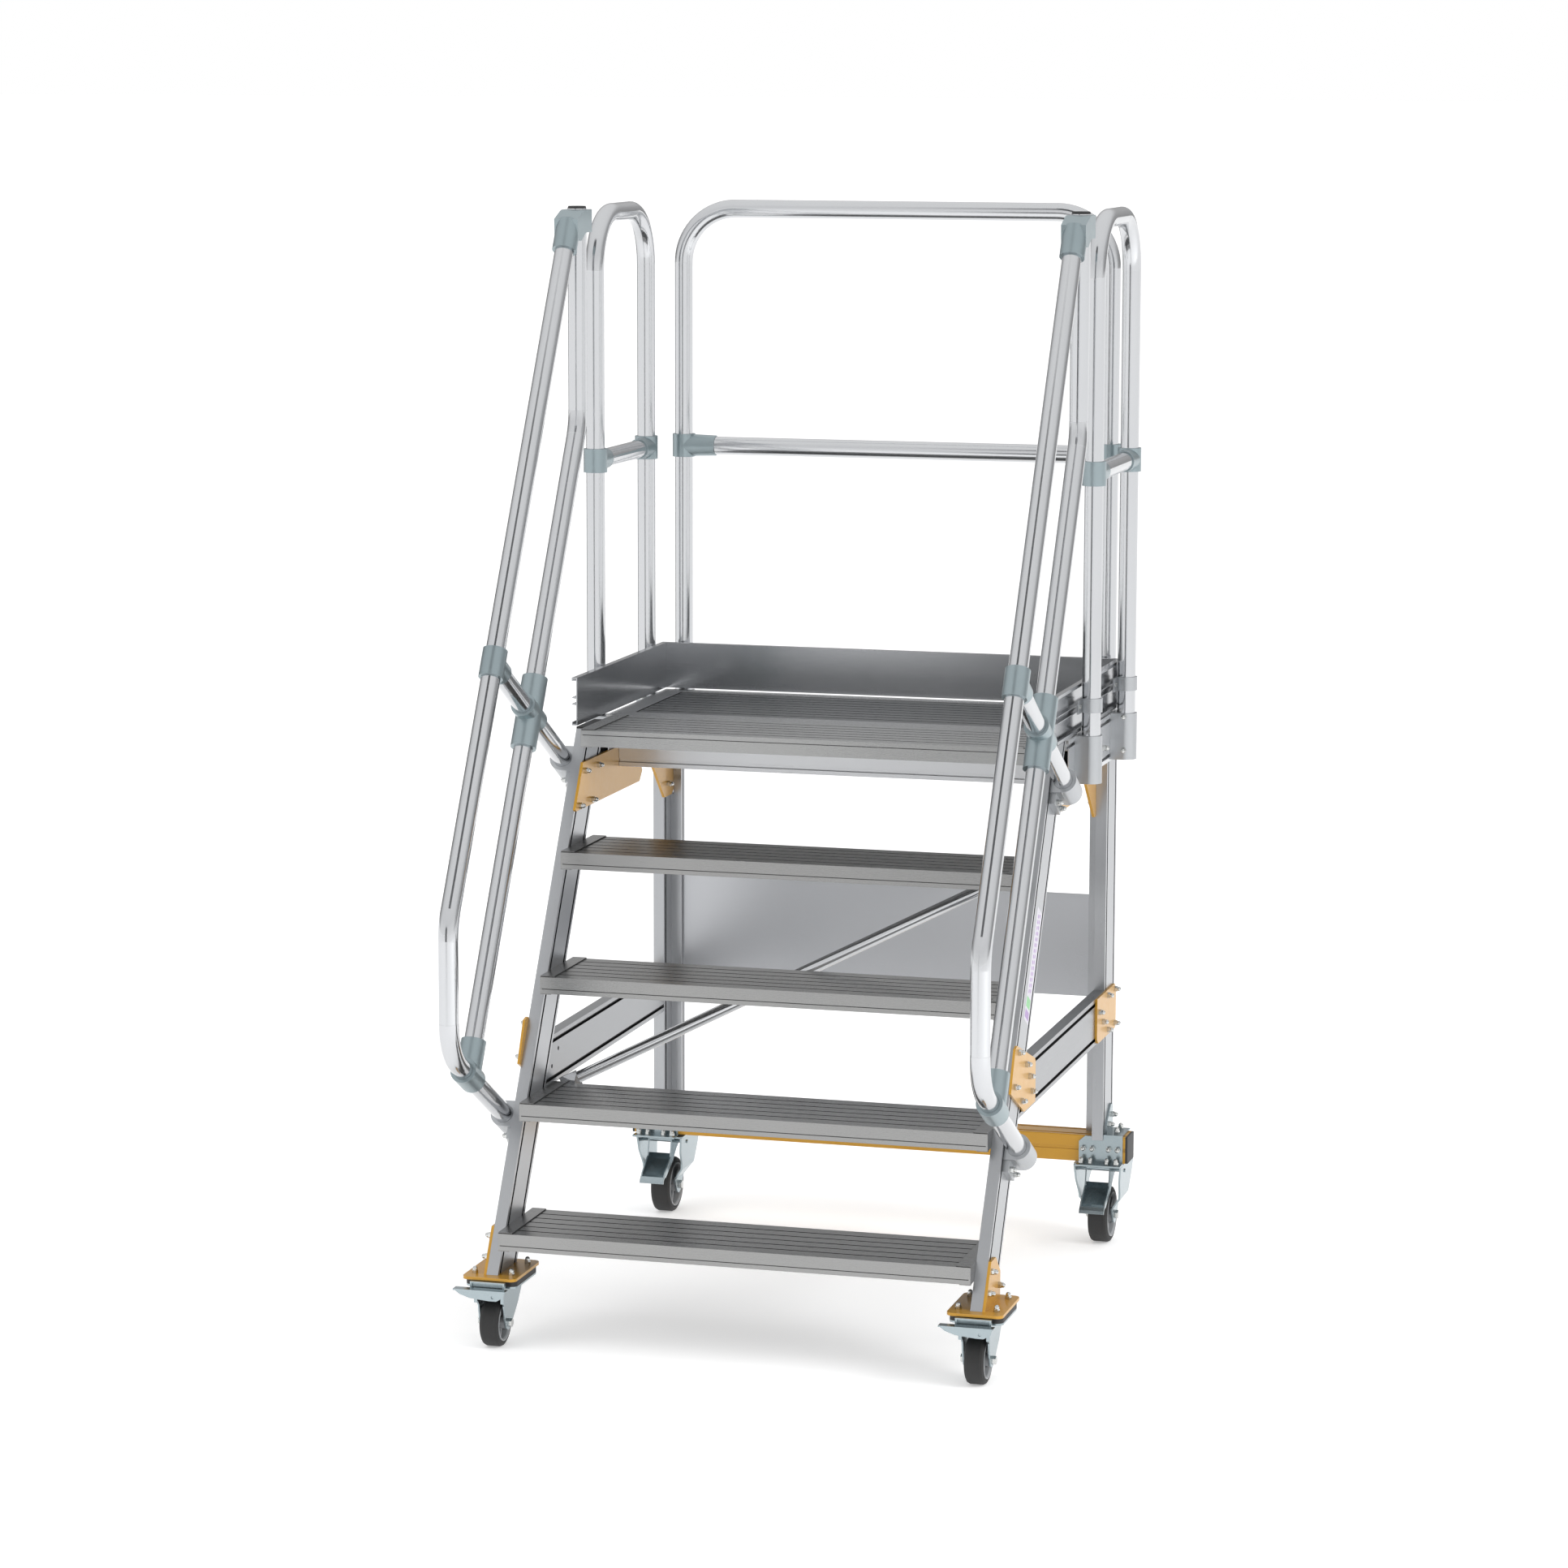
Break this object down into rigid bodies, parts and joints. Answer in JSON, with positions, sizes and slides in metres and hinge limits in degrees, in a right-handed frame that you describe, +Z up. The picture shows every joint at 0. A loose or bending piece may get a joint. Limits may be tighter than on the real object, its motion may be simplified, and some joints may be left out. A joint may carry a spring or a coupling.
{
  "type": "mobile platform stair",
  "caption": "Wheeled aluminium stair with deep ribbed treads, a railed platform, braced handrails and braked casters.",
  "frame": {"origin": "on the floor, at the middle of the footprint", "axes": "+Z up, +Y from the first tread toward the rear guard, +X to the right when facing the stair"},
  "size_m": [1.1488, 1.4742, 2.297],
  "materials": {
    "profile": "satin anodised extrusion",
    "tread": "ribbed extrusion, matt",
    "deck": "ribbed extrusion, matt",
    "toe": "smooth dark reflective extrusion",
    "panel": "plain sheet",
    "tube": "bright satin tube",
    "fitting": "cast, blue-grey, fine grain",
    "clamp": "extruded clamp, satin",
    "plate": "glossy golden orange coat",
    "zinc": "bright zinc plated sheet",
    "steel": "stainless, polished acorn nuts",
    "black": "moulded black plastic",
    "tyre": "black rubber",
    "hub": "grey moulded nylon"
  },
  "bodies": {
    "frame": {"stringer_left": "profile", "stringer_right": "profile", "tread_1": "tread", "tread_2": "tread", "tread_3": "tread", "tread_4": "tread", "platform_plank": "tread", "deck_frame": "deck", "deck_panel": "deck", "platform_beams": "profile", "toe_board_left": "toe", "toe_board_right": "toe", "toe_board_rear": "toe", "post_left": "profile", "post_right": "profile", "panel_channels": "profile", "rear_panel": "panel", "struts": "profile", "brace": "tube", "rear_beam": "plate", "end_caps": "black", "gussets": "plate", "joint_plates": "plate", "foot_plates": "plate", "caster_brackets": "zinc", "rail_outer_left": "tube", "rail_outer_right": "tube", "rail_inner_left": "tube", "rail_inner_right": "tube", "rail_braces": "tube", "rail_fittings_left": "fitting", "rail_fittings_right": "fitting", "rail_clamps": "clamp", "hoop_left": "tube", "hoop_right": "tube", "midrails": "tube", "guard_tees": "fitting", "guard_clamps": "clamp", "rear_guard": "tube", "spacers": "black", "nuts": "steel", "rear_forks": "zinc", "rear_axles": "steel", "swivel_plates": "zinc"},
    "swivel_left": {"fork_front_left": "zinc", "axle_front_left": "steel"},
    "swivel_right": {"fork_front_right": "zinc", "axle_front_right": "steel"},
    "wheel_front_left": {"tyre_front_left": "tyre", "hub_front_left": "hub"},
    "wheel_front_right": {"tyre_front_right": "tyre", "hub_front_right": "hub"},
    "wheel_rear_left": {"tyre_rear_left": "tyre", "hub_rear_left": "hub"},
    "wheel_rear_right": {"tyre_rear_right": "tyre", "hub_rear_right": "hub"},
    "brake_front_left": {"pedal_front_left": "zinc"},
    "brake_front_right": {"pedal_front_right": "zinc"},
    "brake_rear_left": {"pedal_rear_left": "zinc"},
    "brake_rear_right": {"pedal_rear_right": "zinc"}
  },
  "joints": [
    {"name": "swivel_left_turn", "type": "hinge", "parent": "frame", "child": "swivel_left", "pos_m": [-0.5075, -0.51, 0.12], "axis": [0, 0, 1], "continuous": true},
    {"name": "wheel_front_left_spin", "type": "hinge", "parent": "swivel_left", "child": "wheel_front_left", "pos_m": [-0.5075, -0.549, 0.05], "axis": [1, 0, 0], "continuous": true},
    {"name": "wheel_rear_left_spin", "type": "hinge", "parent": "frame", "child": "wheel_rear_left", "pos_m": [-0.5075, 0.645, 0.0625], "axis": [1, 0, 0], "continuous": true},
    {"name": "brake_front_left_press", "type": "hinge", "parent": "swivel_left", "child": "brake_front_left", "pos_m": [-0.4885, -0.614, 0.12], "axis": [0, 1, 0], "range_deg": [-10, 2]},
    {"name": "brake_rear_left_press", "type": "hinge", "parent": "frame", "child": "brake_rear_left", "pos_m": [-0.5075, 0.627, 0.168], "axis": [1, 0, 0], "range_deg": [-4, 12]},
    {"name": "swivel_right_turn", "type": "hinge", "parent": "frame", "child": "swivel_right", "pos_m": [0.5075, -0.51, 0.12], "axis": [0, 0, 1], "continuous": true},
    {"name": "wheel_front_right_spin", "type": "hinge", "parent": "swivel_right", "child": "wheel_front_right", "pos_m": [0.5075, -0.549, 0.05], "axis": [1, 0, 0], "continuous": true},
    {"name": "wheel_rear_right_spin", "type": "hinge", "parent": "frame", "child": "wheel_rear_right", "pos_m": [0.5075, 0.645, 0.0625], "axis": [1, 0, 0], "continuous": true},
    {"name": "brake_front_right_press", "type": "hinge", "parent": "swivel_right", "child": "brake_front_right", "pos_m": [0.5265, -0.614, 0.12], "axis": [0, 1, 0], "range_deg": [-10, 2]},
    {"name": "brake_rear_right_press", "type": "hinge", "parent": "frame", "child": "brake_rear_right", "pos_m": [0.5075, 0.627, 0.168], "axis": [1, 0, 0], "range_deg": [-4, 12]}
  ]
}
